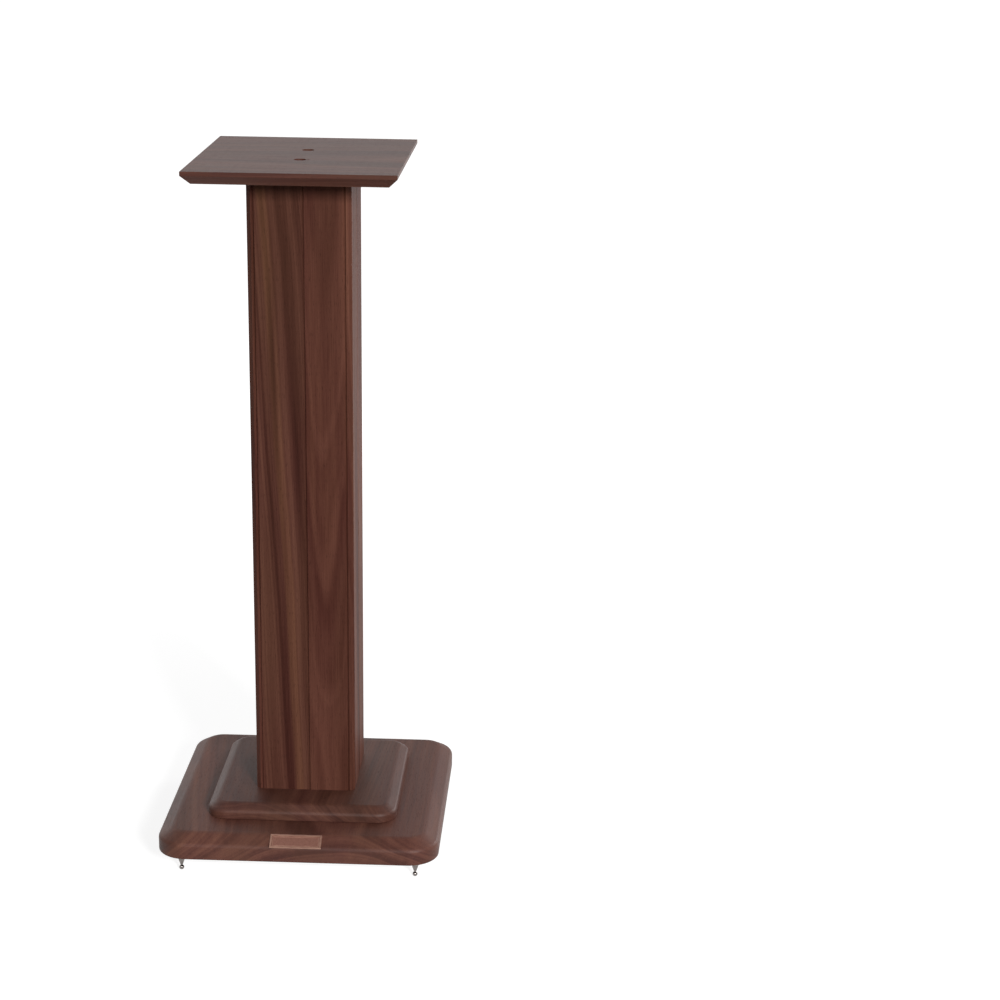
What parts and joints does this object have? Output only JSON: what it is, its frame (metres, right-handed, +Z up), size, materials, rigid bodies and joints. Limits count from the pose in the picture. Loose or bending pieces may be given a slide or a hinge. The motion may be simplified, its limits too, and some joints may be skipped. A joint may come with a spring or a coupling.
{
  "type": "speaker stand",
  "caption": "Free-standing wooden speaker stand: a square boxed column of grooved boards on a stepped, bevelled base with adjustable spike feet, under a bevelled top plate.",
  "frame": {"origin": "on the floor, under the middle of the stand", "axes": "+Z up; -Y is the front, where the nameplate is; +X is the stand's right-hand side for someone who stands in front of it and looks along +Y"},
  "size_m": [0.28, 0.2813, 0.7],
  "materials": {
    "inner_board_walnut": "oiled walnut, straight grain along the board",
    "corner_board_walnut": "oiled walnut, straight grain along the board",
    "base_walnut": "oiled walnut, grain along X",
    "plinth_walnut": "oiled walnut, grain along X",
    "top_plate_walnut": "oiled walnut, grain along Y",
    "block_wood": "unfinished",
    "insert_brass": "machined",
    "nut_steel": "zinc plated",
    "spike_metal": "polished plating",
    "screw_steel": "black oxide",
    "nameplate_metal": "satin, copper coloured"
  },
  "bodies": {
    "stand": {"back_corner_board": "corner_board_walnut", "back_inner_board": "inner_board_walnut", "back_left_insert": "insert_brass", "back_left_lock_nut": "nut_steel", "back_right_insert": "insert_brass", "back_right_lock_nut": "nut_steel", "base": "base_walnut", "base_screws": "screw_steel", "column_bottom_block": "block_wood", "column_top_block": "block_wood", "front_corner_board": "corner_board_walnut", "front_inner_board": "inner_board_walnut", "front_left_insert": "insert_brass", "front_left_lock_nut": "nut_steel", "front_right_insert": "insert_brass", "front_right_lock_nut": "nut_steel", "left_corner_board": "corner_board_walnut", "left_inner_board": "inner_board_walnut", "nameplate": "nameplate_metal", "plinth": "plinth_walnut", "right_corner_board": "corner_board_walnut", "right_inner_board": "inner_board_walnut", "top_plate": "top_plate_walnut", "top_plate_screws": "screw_steel"},
    "front_left_foot": {"front_left_spike": "spike_metal"},
    "front_right_foot": {"front_right_spike": "spike_metal"},
    "back_right_foot": {"back_right_spike": "spike_metal"},
    "back_left_foot": {"back_left_spike": "spike_metal"}
  },
  "joints": [
    {"name": "front_left_foot_height", "type": "slide", "parent": "stand", "child": "front_left_foot", "axis": [0, 0, -1], "range_m": [0, 0.008]},
    {"name": "front_right_foot_height", "type": "slide", "parent": "stand", "child": "front_right_foot", "axis": [0, 0, -1], "range_m": [0, 0.008]},
    {"name": "back_right_foot_height", "type": "slide", "parent": "stand", "child": "back_right_foot", "axis": [0, 0, -1], "range_m": [0, 0.008]},
    {"name": "back_left_foot_height", "type": "slide", "parent": "stand", "child": "back_left_foot", "axis": [0, 0, -1], "range_m": [0, 0.008]}
  ]
}
